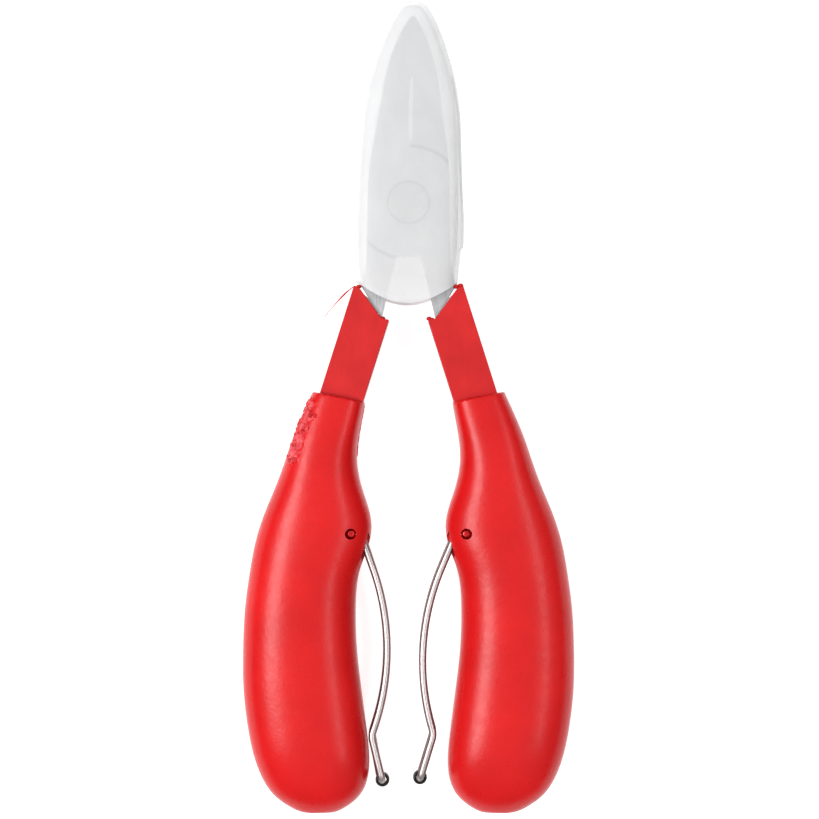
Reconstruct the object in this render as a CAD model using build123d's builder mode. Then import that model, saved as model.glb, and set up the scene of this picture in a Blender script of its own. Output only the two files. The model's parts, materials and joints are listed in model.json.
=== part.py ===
# Nail nipper: two lap-jointed steel halves turn on a rivet and carry moulded handles.
# Each handle holds a hairpin bow spring on a cross pin, and a soft cap covers the jaws.
# Frame: +Y runs from the handles to the jaw tips, +Z is the rivet's axis.
# The origin is the centre of the outline, on the surface that the nipper lies on.
# Outlines are drawn from the pivot, with X the distance from the middle plane.

from build123d import *
from math import cos, radians, sin, sqrt
import os

# ---- Driving dimensions, mm ----
pivot_y = 41.1                 # pivot's place along the length
mid_z = 8.0                    # middle plane of the steel, halfway up the grips

# steel halves
steel_thickness = 6.6
lap_radius = 11.05             # round face of each lap
lap_top_x = 7.55               # half width of the joint, above the pivot
lap_bottom_x = 8.5             # and at the crotch
lap_clearance = 0.06           # between a lap and the shoulder round it
lap_gap = 0.05                 # between the two lap faces
jaw_tip_x = 0.35
jaw_tip_y = 37.8
jaw_outer_side = [(3.0, 33.0), (5.3, 25.0), (6.55, 17.0), (7.6, 10.5)]
jaw_half_width = 8.2           # beside the pivot
edge_gap = 0.04                # between the two cutting edges
slit_width = 0.8               # relief behind the cutting edges
slit_top_y = 26.3
slit_end_y = 13.0
slit_hole_radius = 0.6
taper_start_y = 12.0           # the jaws thin from here to the tip
tip_thickness = 3.0
crotch_x = 2.4
crotch_y = -10.6               # bottom of the laps
root_outer_side = [(8.4, -7.4), (8.5, -12.0), (8.95, -16.5)]
root_inner_side = [(4.9, -22.9), (4.45, -20.1), (3.7, -15.5)]
shoulder_end_y = -12.6         # the steel's full thickness ends here
root_thickness = 5.4           # from there to the slanted shoulder that the neck meets
tang_width = 4.2
tang_thickness = 5.0
tang_start = -9.0              # where the tang lies on the neck's axis, from the neck point
tang_reach = 34.0              # tang's length beyond the neck point

# rivet
rivet_shank_radius = 2.5
rivet_head_radius = 4.05
rivet_head_height = 1.1
rivet_clearance = 0.05

# neck, a moulded core that leaves the grip at an angle
neck_lean = 17.6               # degrees from the middle plane
neck_x = 9.83                  # a point on the neck's axis
neck_y = -27.65
neck_width = 8.8
neck_thickness = 7.6
neck_wall_side = 1.6
neck_wall_face = 1.1
# open end, from the outer side to the inner: along the axis from the neck point, and out from it
neck_end = [(-9.9, 4.4), (-10.0, 3.3), (-5.4, -2.95), (-5.6, -4.4)]
neck_depth = 21.0              # how far the core reaches past the neck point

# grips
grip_top_x = 14.15             # a point on the end face round the neck
grip_top_y = -39.1
grip_top_slope = 11.0          # degrees
grip_thickness = 16.0          # between the two flat lands
# section: place, inner side, outer side, thickness, corner radius
grip_sections = [
    (-35.0, 8.3, 18.0, 11.2, 2.0),
    (-40.0, 8.95, 20.2, 11.6, 2.2),
    (-46.0, 10.0, 22.9, 12.6, 3.2),
    (-52.0, 10.75, 24.9, 13.6, 4.5),
    (-57.0, 9.95, 26.7, 14.4, 5.2),
    (-62.0, 8.05, 28.9, 15.0, 5.6),
    (-66.0, 7.2, 30.3, 15.4, 5.8),
    (-70.0, 8.2, 31.35, 15.8, 6.0),
    (-74.5, 10.2, 32.1, 16.2, 6.2),
    (-80.0, 11.05, 32.95, 16.5, 6.5),
    (-88.0, 10.7, 33.55, 16.6, 6.8),
    (-97.0, 10.05, 33.5, 16.6, 7.0),
    (-105.0, 8.8, 32.7, 16.5, 7.0),
    (-111.0, 7.95, 31.65, 15.8, 6.8),
    (-115.5, 7.95, 30.1, 14.2, 6.2),
    (-119.0, 9.0, 28.2, 11.6, 5.2),
    (-121.6, 11.4, 25.3, 8.0, 3.6),
    (-123.3, 15.0, 21.4, 3.4, 1.5),
]

# spring pins and the slots they cross
pin_x = 11.6
pin_y = -66.6
pin_radius = 1.0
pin_length = 11.6
pin_hole_radius = 1.1
slot_height = 7.2
slot_radius = 3.3
slot_reach = 14.0              # how far the slot is cut from the pin

# bow springs: each is one wire, bent into a hairpin
wire_radius = 0.75
leg_spacing = 5.0
eye_clearance = 0.08           # between a pin and the eye round it
bow_apex = (-10.8, -22.9)      # where the bow's end tangents meet, from the pin
bow_radius = 49.0
kink = (-5.35, -40.8)
kink_radius = 1.6
spring_end = (-7.8, -49.8)
crossbar_radius = 1.25         # bend from each leg to the crossbar
spring_lean = -1.7             # degrees that both springs lean as stored
roller_radius = 1.4
roller_length = 2.1
roller_clearance = 0.06

# cap
cap_corner = 0.80              # corner radius over half the thickness, outside
cap_inner_corner = 0.58        # and inside
cap_rim_y = -20.1
cap_rim_side_y = -16.3
cap_rim_x = 9.9                # half width of the rim
cap_trim_x = 12.0              # half width and bottom of the cut that trims the shell to its rim
cap_trim_y = -30.0
# section: place, half width, half thickness
cap_sections = [
    (-26.0, 9.2, 5.8),
    (-15.5, 10.0, 5.9),
    (-7.4, 10.75, 5.9),
    (3.0, 10.3, 5.8),
    (10.0, 9.8, 5.6),
    (18.0, 9.4, 5.2),
    (25.0, 8.2, 4.6),
    (30.7, 6.6, 4.1),
    (35.6, 4.8, 3.5),
    (39.0, 3.1, 2.7),
    (41.1, 1.0, 1.0),
]
cap_inner_sections = [
    (-28.0, 8.6, 4.85),
    (-15.5, 9.25, 4.95),
    (-7.4, 9.75, 4.9),
    (3.0, 9.3, 4.8),
    (10.0, 8.8, 4.6),
    (18.0, 8.4, 4.2),
    (25.0, 7.2, 3.6),
    (30.7, 5.6, 3.1),
    (35.6, 3.7, 2.5),
    (38.6, 1.9, 1.7),
    (39.8, 0.8, 0.8),
]

steel_low = mid_z - steel_thickness / 2
steel_high = mid_z + steel_thickness / 2
clear_of_all = 200.0           # longer than anything it cuts


def level(height):
    """Drawing plane at a height, with its origin on the pivot."""
    return Plane(origin=(0, pivot_y, height))


def across(place):
    """Drawing plane square to the length, seen from the jaws' end."""
    return Plane(origin=(0, pivot_y + place, mid_z), x_dir=(1, 0, 0), z_dir=(0, -1, 0))


def neck_point(side, along, out):
    """Point in the outline plane, along the neck's axis and out from it."""
    lean = radians(neck_lean)
    x = neck_x + along * sin(lean) + out * cos(lean)
    y = neck_y - along * cos(lean) + out * sin(lean)
    return (side * x, y)


def neck_plane(side, along):
    """Plane square to the neck's axis, facing the grip."""
    x, y = neck_point(side, along, 0)
    lean = radians(neck_lean)
    return Plane(
        origin=(x, pivot_y + y, mid_z),
        x_dir=(side * cos(lean), sin(lean), 0),
        z_dir=(side * sin(lean), -cos(lean), 0),
    )


def jaw_outline(side):
    """One jaw, from its tip to the pivot, up to the middle plane."""
    edge = side * edge_gap / 2
    slit = side * slit_width / 2
    with BuildSketch() as outline:
        with BuildLine():
            Spline(
                (side * jaw_tip_x, jaw_tip_y),
                *[(side * x, y) for x, y in jaw_outer_side],
                (side * jaw_half_width, 0.0),
            )
            Polyline(
                (side * jaw_half_width, 0.0),
                (edge, 0.0),
                (edge, slit_end_y - slit_hole_radius),
                (slit, slit_end_y),
                (slit, slit_top_y - slit_width),
                (edge, slit_top_y),
                (edge, jaw_tip_y),
                (side * jaw_tip_x, jaw_tip_y),
            )
        make_face()
    return outline.sketch


def root_outline(side):
    """The root of one tang, from the pivot to the slanted shoulder that the neck meets."""
    with BuildSketch() as outline:
        with BuildLine():
            Polyline(
                (side * jaw_half_width, 0.0),
                *[(side * x, y) for x, y in root_outer_side + root_inner_side],
                (side * crotch_x, crotch_y),
                (side * crotch_x, 0.0),
                close=True,
            )
        make_face()
    return outline.sketch


def tang_outline(side):
    """The bar that runs inside the neck and the grip."""
    half = tang_width / 2
    with BuildSketch() as outline:
        with BuildLine():
            Polyline(
                neck_point(side, tang_start, half),
                neck_point(side, tang_reach, half),
                neck_point(side, tang_reach, -half),
                neck_point(side, tang_start, -half),
                close=True,
            )
        make_face()
    return outline.sketch


def lap_outline():
    """The round lap, narrowed to the width of the joint."""
    with BuildSketch() as outline:
        Circle(lap_radius)
        with BuildLine():
            Polyline(
                (-lap_top_x, lap_radius),
                (-jaw_half_width, 0),
                (-lap_bottom_x, crotch_y),
                (lap_bottom_x, crotch_y),
                (jaw_half_width, 0),
                (lap_top_x, lap_radius),
                close=True,
            )
        make_face(mode=Mode.INTERSECT)
    return outline.sketch


def plier_half(jaw_side, label, front):
    """One steel half: a jaw on one side, its lap, and a tang on the other side."""
    tang_side = -jaw_side
    lap_low = mid_z + lap_gap / 2 if front else steel_low
    lap_height = (steel_thickness - lap_gap) / 2
    jaw = jaw_outline(jaw_side)
    root = root_outline(tang_side)
    lap = lap_outline()
    tang = tang_outline(tang_side)
    with BuildPart() as half:
        # jaw and tang root at full thickness, clear of the other half's lap
        with BuildSketch(level(steel_low)):
            add(jaw)
            add(root)
            Circle(lap_radius + lap_clearance, mode=Mode.SUBTRACT)
            with Locations((0, shoulder_end_y - lap_radius)):
                Rectangle(4 * lap_radius, 2 * lap_radius, mode=Mode.SUBTRACT)
        extrude(amount=steel_thickness)
        # the lap itself, half as thick
        with BuildSketch(level(lap_low)):
            add(jaw)
            add(root)
            add(lap)
            with Locations((0, shoulder_end_y - lap_radius)):
                Rectangle(4 * lap_radius, 2 * lap_radius, mode=Mode.SUBTRACT)
        extrude(amount=lap_height)
        # the root steps down to the shoulder
        with BuildSketch(level(mid_z - root_thickness / 2)):
            add(root)
            with Locations((0, shoulder_end_y + lap_radius)):
                Rectangle(4 * lap_radius, 2 * lap_radius, mode=Mode.SUBTRACT)
        extrude(amount=root_thickness)
        # front and back faces fall away to a thin tip
        drop = (steel_thickness - tip_thickness) / 2
        with BuildSketch(Plane.YZ):
            for up in (1, -1):
                face_z = mid_z + up * steel_thickness / 2
                with BuildLine():
                    Polyline(
                        (pivot_y + taper_start_y, face_z),
                        (pivot_y + jaw_tip_y, face_z - up * drop),
                        (pivot_y + jaw_tip_y + 1, face_z - up * drop),
                        (pivot_y + jaw_tip_y + 1, face_z + up),
                        (pivot_y + taper_start_y, face_z + up),
                        close=True,
                    )
                make_face()
        extrude(amount=clear_of_all, both=True, mode=Mode.SUBTRACT)
        # tang
        with BuildSketch(level(mid_z - tang_thickness / 2)):
            add(tang)
        extrude(amount=tang_thickness)
        # hole at the end of the relief slit
        with BuildSketch(level(steel_low)):
            with Locations((0, slit_end_y)):
                Circle(slit_hole_radius)
        extrude(amount=steel_thickness, mode=Mode.SUBTRACT)
        # rivet hole, with a recess for the head in the outer face
        gap = rivet_clearance if front else 0.0
        with BuildSketch(level(steel_low)):
            Circle(rivet_shank_radius + gap)
        extrude(amount=steel_thickness, mode=Mode.SUBTRACT)
        recess_low = steel_high - rivet_head_height - gap if front else steel_low
        with BuildSketch(level(recess_low)):
            Circle(rivet_head_radius + gap)
        extrude(amount=rivet_head_height + gap, mode=Mode.SUBTRACT)
    half.part.label = label
    return half.part


def pivot_rivet():
    """Flush rivet: a shank with a low head sunk in each outer face."""
    with BuildPart() as rivet:
        with BuildSketch(level(steel_low)):
            Circle(rivet_shank_radius)
        extrude(amount=steel_thickness)
        for head_low in (steel_low, steel_high - rivet_head_height):
            with BuildSketch(level(head_low)):
                Circle(rivet_head_radius)
            extrude(amount=rivet_head_height)
    rivet.part.label = "pivot_rivet"
    return rivet.part


def neck_sleeve(side, label):
    """Rectangular moulded core: hollow round the tang, with a slanted open end."""
    start = min(along for along, out in neck_end)
    end_points = [neck_point(side, along, out) for along, out in neck_end]
    with BuildPart() as sleeve:
        with BuildSketch(neck_plane(side, start)):
            Rectangle(neck_width, neck_thickness)
            Rectangle(
                neck_width - 2 * neck_wall_side,
                neck_thickness - 2 * neck_wall_face,
                mode=Mode.SUBTRACT,
            )
        extrude(amount=neck_depth - start)
        with BuildSketch(level(0)):
            with BuildLine():
                Polyline(
                    *end_points,
                    neck_point(side, start, -neck_width),
                    neck_point(side, start - neck_width, -neck_width),
                    neck_point(side, start - neck_width, neck_width / 2),
                    close=True,
                )
            make_face()
        extrude(amount=2 * mid_z, mode=Mode.SUBTRACT)
    sleeve.part.label = label
    return sleeve.part


def grip(side, label):
    """Moulded grip: a rounded body with pockets for the neck and tang, and a spring slot."""
    with BuildPart() as body:
        for place, inner, outer, thickness, corner in grip_sections:
            middle = side * (inner + outer) / 2
            with BuildSketch(across(place)):
                with Locations((middle, 0)):
                    RectangleRounded(outer - inner, thickness, corner)
        loft()
        # flat lands, front and back
        with BuildSketch(Plane.XY):
            Rectangle(clear_of_all, 2 * clear_of_all)
        extrude(amount=grip_thickness, mode=Mode.INTERSECT)
        # end face round the neck
        slope = radians(side * grip_top_slope)
        end_face = Plane(
            origin=(side * grip_top_x, pivot_y + grip_top_y, mid_z),
            x_dir=(cos(slope), sin(slope), 0),
            z_dir=(-sin(slope), cos(slope), 0),
        )
        split(bisect_by=end_face, keep=Keep.BOTTOM)
        # pockets for the neck and for the tang beyond it
        with BuildSketch(neck_plane(side, 0)):
            Rectangle(neck_width, neck_thickness)
        extrude(amount=neck_depth, mode=Mode.SUBTRACT)
        with BuildSketch(neck_plane(side, 0)):
            Rectangle(tang_width, tang_thickness)
        extrude(amount=tang_reach, mode=Mode.SUBTRACT)
        # slot, open towards the other grip, that the spring swings in
        leg_length = sqrt(bow_apex[0] ** 2 + bow_apex[1] ** 2)
        along = (bow_apex[0] / leg_length, bow_apex[1] / leg_length)
        edge_x = pin_x - slot_radius * along[1]
        edge_y = pin_y + slot_radius * along[0]
        with BuildSketch(level(mid_z - slot_height / 2)):
            with Locations((side * pin_x, pin_y)):
                Circle(slot_radius)
            with BuildLine():
                Polyline(
                    (side * pin_x, pin_y + slot_radius),
                    (side * (pin_x - slot_reach), pin_y + slot_radius),
                    (side * (pin_x - slot_reach), edge_y + slot_reach * along[1]),
                    (side * (edge_x + slot_reach * along[0]), edge_y + slot_reach * along[1]),
                    (side * edge_x, edge_y),
                    close=True,
                )
            make_face()
        extrude(amount=slot_height, mode=Mode.SUBTRACT)
        # hole for the cross pin
        with BuildSketch(level(0)):
            with Locations((side * pin_x, pin_y)):
                Circle(pin_hole_radius)
        extrude(amount=grip_thickness, mode=Mode.SUBTRACT)
    body.part.label = label
    return body.part


def spring_pin(side, label):
    """Cross pin through the grip's slot, sunk below both faces."""
    with BuildPart() as pin:
        with BuildSketch(level(mid_z - pin_length / 2)):
            with Locations((side * pin_x, pin_y)):
                Circle(pin_radius)
        extrude(amount=pin_length)
    pin.part.label = label
    return pin.part


def spring_plane(side, height):
    """Drawing plane with its origin on the pin, turned with the stored spring."""
    lean = radians(spring_lean)
    return Plane(
        origin=(side * pin_x, pivot_y + pin_y, height),
        x_dir=(cos(lean), sin(lean), 0),
    )


def bow_spring(side, label):
    """Hairpin spring: two eyes, two bowed legs and the crossbar that joins them."""
    eye_radius = pin_radius + eye_clearance + wire_radius
    reach = sqrt(bow_apex[0] ** 2 + bow_apex[1] ** 2)
    start = (
        eye_radius * bow_apex[1] / reach,
        -eye_radius * bow_apex[0] / reach,
    )
    leg = [start, bow_apex, kink, spring_end]
    up = leg_spacing / 2
    route = [(side * x, y, up) for x, y in leg]
    route += [(side * x, y, -up) for x, y in reversed(leg)]
    bends = [bow_radius, kink_radius, crossbar_radius]
    with BuildPart() as spring:
        with BuildLine(spring_plane(side, mid_z)) as wire:
            FilletPolyline(*route, radius=bends + bends[::-1])
        with BuildSketch(Plane(origin=wire.wire() @ 0, z_dir=wire.wire() % 0)):
            Circle(wire_radius)
        sweep(path=wire.wire())
        for height in (mid_z + up, mid_z - up):
            with BuildSketch(Plane(
                origin=(side * pin_x, pivot_y + pin_y, height),
                x_dir=(1, 0, 0),
                z_dir=(0, -1, 0),
            )):
                with Locations((eye_radius, 0)):
                    Circle(wire_radius)
            pin_axis = Axis((side * pin_x, pivot_y + pin_y, 0), (0, 0, 1))
            revolve(axis=pin_axis)
    spring.part.label = label
    return spring.part


def spring_roller(side, label):
    """Short roller that turns on the spring's crossbar."""
    with BuildPart() as roller:
        with BuildSketch(spring_plane(side, mid_z - roller_length / 2)):
            with Locations((side * spring_end[0], spring_end[1])):
                Circle(roller_radius)
                Circle(wire_radius + roller_clearance, mode=Mode.SUBTRACT)
        extrude(amount=roller_length)
    roller.part.label = label
    return roller.part


def blade_cap():
    """Soft flat cap: closed at the tip, open at a bowed rim."""
    with BuildPart() as cap:
        for place, half_width, half_thickness in cap_sections:
            with BuildSketch(across(place)):
                RectangleRounded(2 * half_width, 2 * half_thickness, cap_corner * half_thickness)
        loft()
        for place, half_width, half_thickness in cap_inner_sections:
            with BuildSketch(across(place)):
                RectangleRounded(
                    2 * half_width, 2 * half_thickness, cap_inner_corner * half_thickness
                )
        loft(mode=Mode.SUBTRACT)
        with BuildSketch(level(0)):
            with BuildLine():
                rise = (cap_rim_side_y - cap_rim_y) * (cap_trim_x / cap_rim_x) ** 2
                ThreePointArc(
                    (-cap_trim_x, cap_rim_y + rise), (0, cap_rim_y), (cap_trim_x, cap_rim_y + rise)
                )
                Polyline(
                    (cap_trim_x, cap_rim_y + rise),
                    (cap_trim_x, cap_trim_y),
                    (-cap_trim_x, cap_trim_y),
                    (-cap_trim_x, cap_rim_y + rise),
                )
            make_face()
        extrude(amount=2 * mid_z, mode=Mode.SUBTRACT)
    cap.part.label = "blade_cap"
    return cap.part


def main():
    pieces = [
        plier_half(-1, "jaw_front", True),
        plier_half(1, "jaw_back", False),
        pivot_rivet(),
        blade_cap(),
    ]
    for side, name in ((-1, "left"), (1, "right")):
        pieces.append(neck_sleeve(side, "neck_sleeve_" + name))
        pieces.append(grip(side, "grip_" + name))
        pieces.append(spring_pin(side, "spring_pin_" + name))
        pieces.append(bow_spring(side, "spring_" + name))
        pieces.append(spring_roller(side, "spring_roller_" + name))
    os.makedirs("parts", exist_ok=True)
    for piece in pieces:
        export_step(piece, "parts/" + piece.label + ".step")
        print(piece.label, round(piece.volume, 2))


main()
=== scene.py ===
import json
from math import atan2, cos, pi, radians, sin, tan

import bmesh
import bpy
from mathutils import Matrix, Vector, noise


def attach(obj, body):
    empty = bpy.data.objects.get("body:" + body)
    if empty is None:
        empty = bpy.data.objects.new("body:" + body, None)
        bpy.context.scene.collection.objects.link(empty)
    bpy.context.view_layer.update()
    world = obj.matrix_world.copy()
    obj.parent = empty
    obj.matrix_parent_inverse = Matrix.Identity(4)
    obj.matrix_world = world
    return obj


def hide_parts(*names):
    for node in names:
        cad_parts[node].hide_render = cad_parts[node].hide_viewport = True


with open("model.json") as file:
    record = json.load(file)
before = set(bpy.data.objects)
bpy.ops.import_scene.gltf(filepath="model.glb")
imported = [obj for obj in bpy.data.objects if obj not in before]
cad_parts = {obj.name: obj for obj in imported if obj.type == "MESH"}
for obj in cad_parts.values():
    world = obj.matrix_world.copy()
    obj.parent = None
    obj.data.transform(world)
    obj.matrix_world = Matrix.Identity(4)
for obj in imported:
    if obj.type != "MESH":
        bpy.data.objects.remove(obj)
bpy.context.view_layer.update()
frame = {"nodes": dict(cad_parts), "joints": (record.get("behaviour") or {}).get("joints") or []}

MM = 0.001
NEAR = 0.01 * MM                  # two places this close are the same place
WELD = 0.001 * MM                 # vertices this close are one, in a piece made here
CAD_WELD = 0.002 * MM             # and in a copy of a CAD part
FLAT_TURN = radians(0.6)          # faces of a CAD part that turn by less are one flat
SIDES = {"left": -1, "right": 1}
SELECT_MODE = {"verts": "VERT", "edges": "EDGE", "faces": "FACE"}

joint_place = {j["name"]: Vector(j["pos_m"]) for j in frame["joints"] if "pos_m" in j}
pivot = joint_place["jaw_open"]
spring_pin_place = {side: joint_place[side + "_spring_swing"] for side in SIDES}
GRIP_BODY = {"left": "back_half", "right": "front_half"}


# ---- Bench: small moves that every piece is made with ----

def hold(*pieces):
    """Deselect everything, then take hold of these pieces; the last is the active one."""
    bpy.ops.object.select_all(action="DESELECT")
    for piece in pieces:
        piece.select_set(True)
        bpy.context.view_layer.objects.active = piece


def open_up(piece, kind="VERT"):
    """Go into edit mode on one piece with nothing selected."""
    hold(piece)
    bpy.ops.object.mode_set(mode="EDIT")
    bpy.ops.mesh.select_mode(type=kind)
    bpy.ops.mesh.select_all(action="DESELECT")


def close_up():
    bpy.ops.object.mode_set(mode="OBJECT")


def pick(piece, kind, wanted):
    """In edit mode, select the vertices, edges or faces that pass a test of their place."""
    bpy.ops.mesh.select_mode(type=SELECT_MODE[kind])
    bpy.ops.mesh.select_all(action="DESELECT")
    cage = bmesh.from_edit_mesh(piece.data)
    for part in getattr(cage, kind):
        if wanted(part):
            part.select_set(True)
    cage.select_flush_mode()
    bmesh.update_edit_mesh(piece.data)


def pick_ring(piece, y):
    """Select the ring of vertices at one place along the length."""
    pick(piece, "verts", lambda v: abs(v.co.y - y) < NEAR)


def draw_out(move):
    """Extrude what is selected."""
    bpy.ops.mesh.extrude_region_move(TRANSFORM_OT_translate={"value": move})


def start_piece(name):
    """Name the primitive just added and settle its place into its mesh."""
    piece = bpy.context.active_object
    piece.name = name
    piece.data.name = name
    hold(piece)
    bpy.ops.object.transform_apply(location=True, rotation=True, scale=True)
    return piece


def finish_modifier(piece, kind, **settings):
    """Add one modifier, set it and apply it."""
    hold(piece)
    modifier = piece.modifiers.new(kind.lower(), kind)
    for key, value in settings.items():
        setattr(modifier, key, value)
    bpy.ops.object.modifier_apply(modifier=modifier.name)


def subdivide_smooth(piece, levels):
    finish_modifier(piece, "SUBSURF", levels=levels, render_levels=levels)


def cut_away(piece, cutter):
    """Cut one piece with another, which is used up."""
    finish_modifier(piece, "BOOLEAN", operation="DIFFERENCE", solver="EXACT", object=cutter)
    bpy.data.objects.remove(cutter)


def join(piece, *others):
    """Make the others part of this piece."""
    hold(*others, piece)
    bpy.ops.object.join()


def tidy_mesh(piece, smooth_angle):
    """Weld, point every face outwards and smooth the faces that meet softly."""
    open_up(piece)
    bpy.ops.mesh.select_all(action="SELECT")
    bpy.ops.mesh.remove_doubles(threshold=WELD)
    bpy.ops.mesh.normals_make_consistent(inside=False)
    close_up()
    hold(piece)
    bpy.ops.object.shade_smooth_by_angle(angle=radians(smooth_angle))


def machined_copy(node, name):
    """A welded copy of a CAD part with its flat faces whole again."""
    piece = bpy.data.objects.new(name, frame["nodes"][node].data.copy())
    piece.data.name = name
    bpy.context.scene.collection.objects.link(piece)
    piece.data.materials.clear()
    open_up(piece)
    bpy.ops.mesh.select_all(action="SELECT")
    bpy.ops.mesh.remove_doubles(threshold=CAD_WELD)
    bpy.ops.mesh.normals_make_consistent(inside=False)
    bpy.ops.mesh.dissolve_limited(angle_limit=FLAT_TURN)
    close_up()
    return piece


def soften_edges(piece, width, steps, angle=30):
    """Round every edge that turns by more than the angle; the width is in millimetres."""
    finish_modifier(
        piece, "BEVEL", width=width * MM, segments=steps,
        limit_method="ANGLE", angle_limit=radians(angle), use_clamp_overlap=True,
    )


def fit_out(piece, body, node, material):
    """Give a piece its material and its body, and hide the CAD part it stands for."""
    piece.data.materials.clear()
    piece.data.materials.append(material)
    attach(piece, body)
    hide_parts(node)


def slice_of(node, y):
    """Lowest and highest x and z of a CAD part where it crosses a plane square to the length."""
    mesh = frame["nodes"][node].data
    found = []
    for edge in mesh.edges:
        a, b = (mesh.vertices[i].co for i in edge.vertices)
        if (a.y - y) * (b.y - y) <= 0 and a.y != b.y:
            found.append(a.lerp(b, (y - a.y) / (b.y - a.y)))
    return (
        min(p.x for p in found), max(p.x for p in found),
        min(p.z for p in found), max(p.z for p in found),
    )


def cage_factor(points):
    """A ring of this many points is smoothed smaller, so its cage starts this much larger."""
    return 3 / (2 + cos(2 * pi / points))


def squareness_factor(square, angle):
    """How far a rounded-square section stands out beyond a circle at an angle."""
    return (abs(cos(angle)) ** square + abs(sin(angle)) ** square) ** (-1 / square)


# ---- Finishes ----

class Finish:
    """One material, with its colour, roughness and bump built from nodes."""

    def __init__(self, name):
        self.material = bpy.data.materials.new(name)
        self.material.use_nodes = True
        self.tree = self.material.node_tree
        self.shader = self.tree.nodes["Principled BSDF"]
        self.place = self.add("ShaderNodeTexCoord").outputs["Object"]

    def add(self, kind, **settings):
        node = self.tree.nodes.new(kind)
        for key, value in settings.items():
            setattr(node, key, value)
        return node

    def link(self, source, target):
        self.tree.links.new(source, target)

    def stretched(self, scale, turn=(0, 0, 0)):
        """The piece's own coordinates, turned and stretched."""
        mapping = self.add("ShaderNodeMapping")
        mapping.inputs["Rotation"].default_value = [radians(t) for t in turn]
        mapping.inputs["Scale"].default_value = scale
        self.link(self.place, mapping.inputs["Vector"])
        return mapping.outputs["Vector"]

    def grain(self, scale, detail=3.0, rough=0.5, place=None, warp=0.0):
        """Noise, in cycles a metre."""
        node = self.add("ShaderNodeTexNoise")
        node.inputs["Scale"].default_value = scale
        node.inputs["Detail"].default_value = detail
        node.inputs["Roughness"].default_value = rough
        node.inputs["Distortion"].default_value = warp
        self.link(self.place if place is None else place, node.inputs["Vector"])
        return node.outputs["Fac"]

    def ramp(self, source, low, high, dark, light):
        """Spread a grain's low to high between two colours or two greys."""
        node = self.add("ShaderNodeValToRGB")
        for stop, place, shade in zip(node.color_ramp.elements, (low, high), (dark, light)):
            stop.position = place
            stop.color = (*shade, 1) if hasattr(shade, "__len__") else (shade, shade, shade, 1)
        self.link(source, node.inputs["Fac"])
        return node.outputs["Color"]

    def blend(self, share, under, over, how="MIX"):
        """Lay one colour over another; the share is a number or a socket."""
        node = self.add("ShaderNodeMix", data_type="RGBA", blend_type=how)
        if isinstance(share, float):
            node.inputs[0].default_value = share
        else:
            self.link(share, node.inputs[0])
        for socket, value in ((node.inputs[6], under), (node.inputs[7], over)):
            if hasattr(value, "__len__"):
                socket.default_value = (*value, 1)
            else:
                self.link(value, socket)
        return node.outputs[2]

    def bump(self, source, depth, under=None):
        """Relief this many millimetres deep, on top of another relief."""
        node = self.add("ShaderNodeBump")
        node.inputs["Distance"].default_value = depth * MM
        self.link(source, node.inputs["Height"])
        if under is not None:
            self.link(under, node.inputs["Normal"])
        return node.outputs["Normal"]

    def reckon(self, how, one, other, margin=None):
        """One arithmetic node; each value is a number or a socket."""
        node = self.add("ShaderNodeMath", operation=how)
        for socket, value in zip(node.inputs, (one, other, margin)):
            if isinstance(value, bpy.types.NodeSocket):
                self.link(value, socket)
            elif value is not None:
                socket.default_value = value
        return node.outputs[0]

    def wear(self, **sockets):
        """Link or set the shader's own sockets, named with underscores for spaces."""
        for key, value in sockets.items():
            socket = self.shader.inputs[key.replace("_", " ")]
            if isinstance(value, bpy.types.NodeSocket):
                self.link(value, socket)
            else:
                socket.default_value = value
        return self.material


def grip_red():
    """Glossy moulded red with a fine leathery skin and faint flow clouds."""
    f = Finish("grip_red")
    cloud = f.grain(90, 2)
    colour = f.ramp(cloud, 0.3, 0.7, (0.55, 0.0042, 0.0052), (0.63, 0.0066, 0.0076))
    fleck = f.ramp(f.grain(2400, 2), 0.35, 0.7, 0.93, 1.0)
    skin = f.bump(f.grain(1500, 1, 0.5), 0.018)
    skin = f.bump(f.grain(420, 2), 0.03, under=skin)
    rough = f.ramp(f.grain(700, 3), 0.3, 0.7, 0.27, 0.34)
    worn = f.add("ShaderNodeAttribute", attribute_name="worn").outputs["Fac"]
    torn = f.ramp(f.grain(700, 2, 0.6), 0.40, 0.62, (0.45, 0.008, 0.012), (0.74, 0.085, 0.10))
    skin_red = f.blend(1.0, colour, fleck, "MULTIPLY")
    return f.wear(
        Base_Color=f.blend(worn, skin_red, torn), Roughness=rough, Normal=skin,
        Specular_IOR_Level=0.25,
    )


def neck_red():
    """Matte red of the moulded core, a little paler and duller than the grips."""
    f = Finish("neck_red")
    cloud = f.grain(160, 3)
    colour = f.ramp(cloud, 0.3, 0.7, (0.49, 0.0075, 0.0092), (0.57, 0.012, 0.013))
    streak = f.ramp(f.grain(1, 3, place=f.stretched((900, 160, 900))), 0.3, 0.7, 0.93, 1.0)
    skin = f.bump(f.grain(1800, 3), 0.02)
    rough = f.ramp(f.grain(600, 3), 0.3, 0.7, 0.46, 0.56)
    return f.wear(
        Base_Color=f.blend(1.0, colour, streak, "MULTIPLY"), Roughness=rough, Normal=skin,
        Specular_IOR_Level=0.22,
    )


# radii of the two seams round the pivot, and half the width of the wider one
LAP_SEAM, RIVET_SEAM, SEAM_WIDTH = 11.42, 4.25, 0.34
# near-black painted shade laid in the seams round the pivot
SEAM_SHADE = (0.03, 0.034, 0.045)


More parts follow.
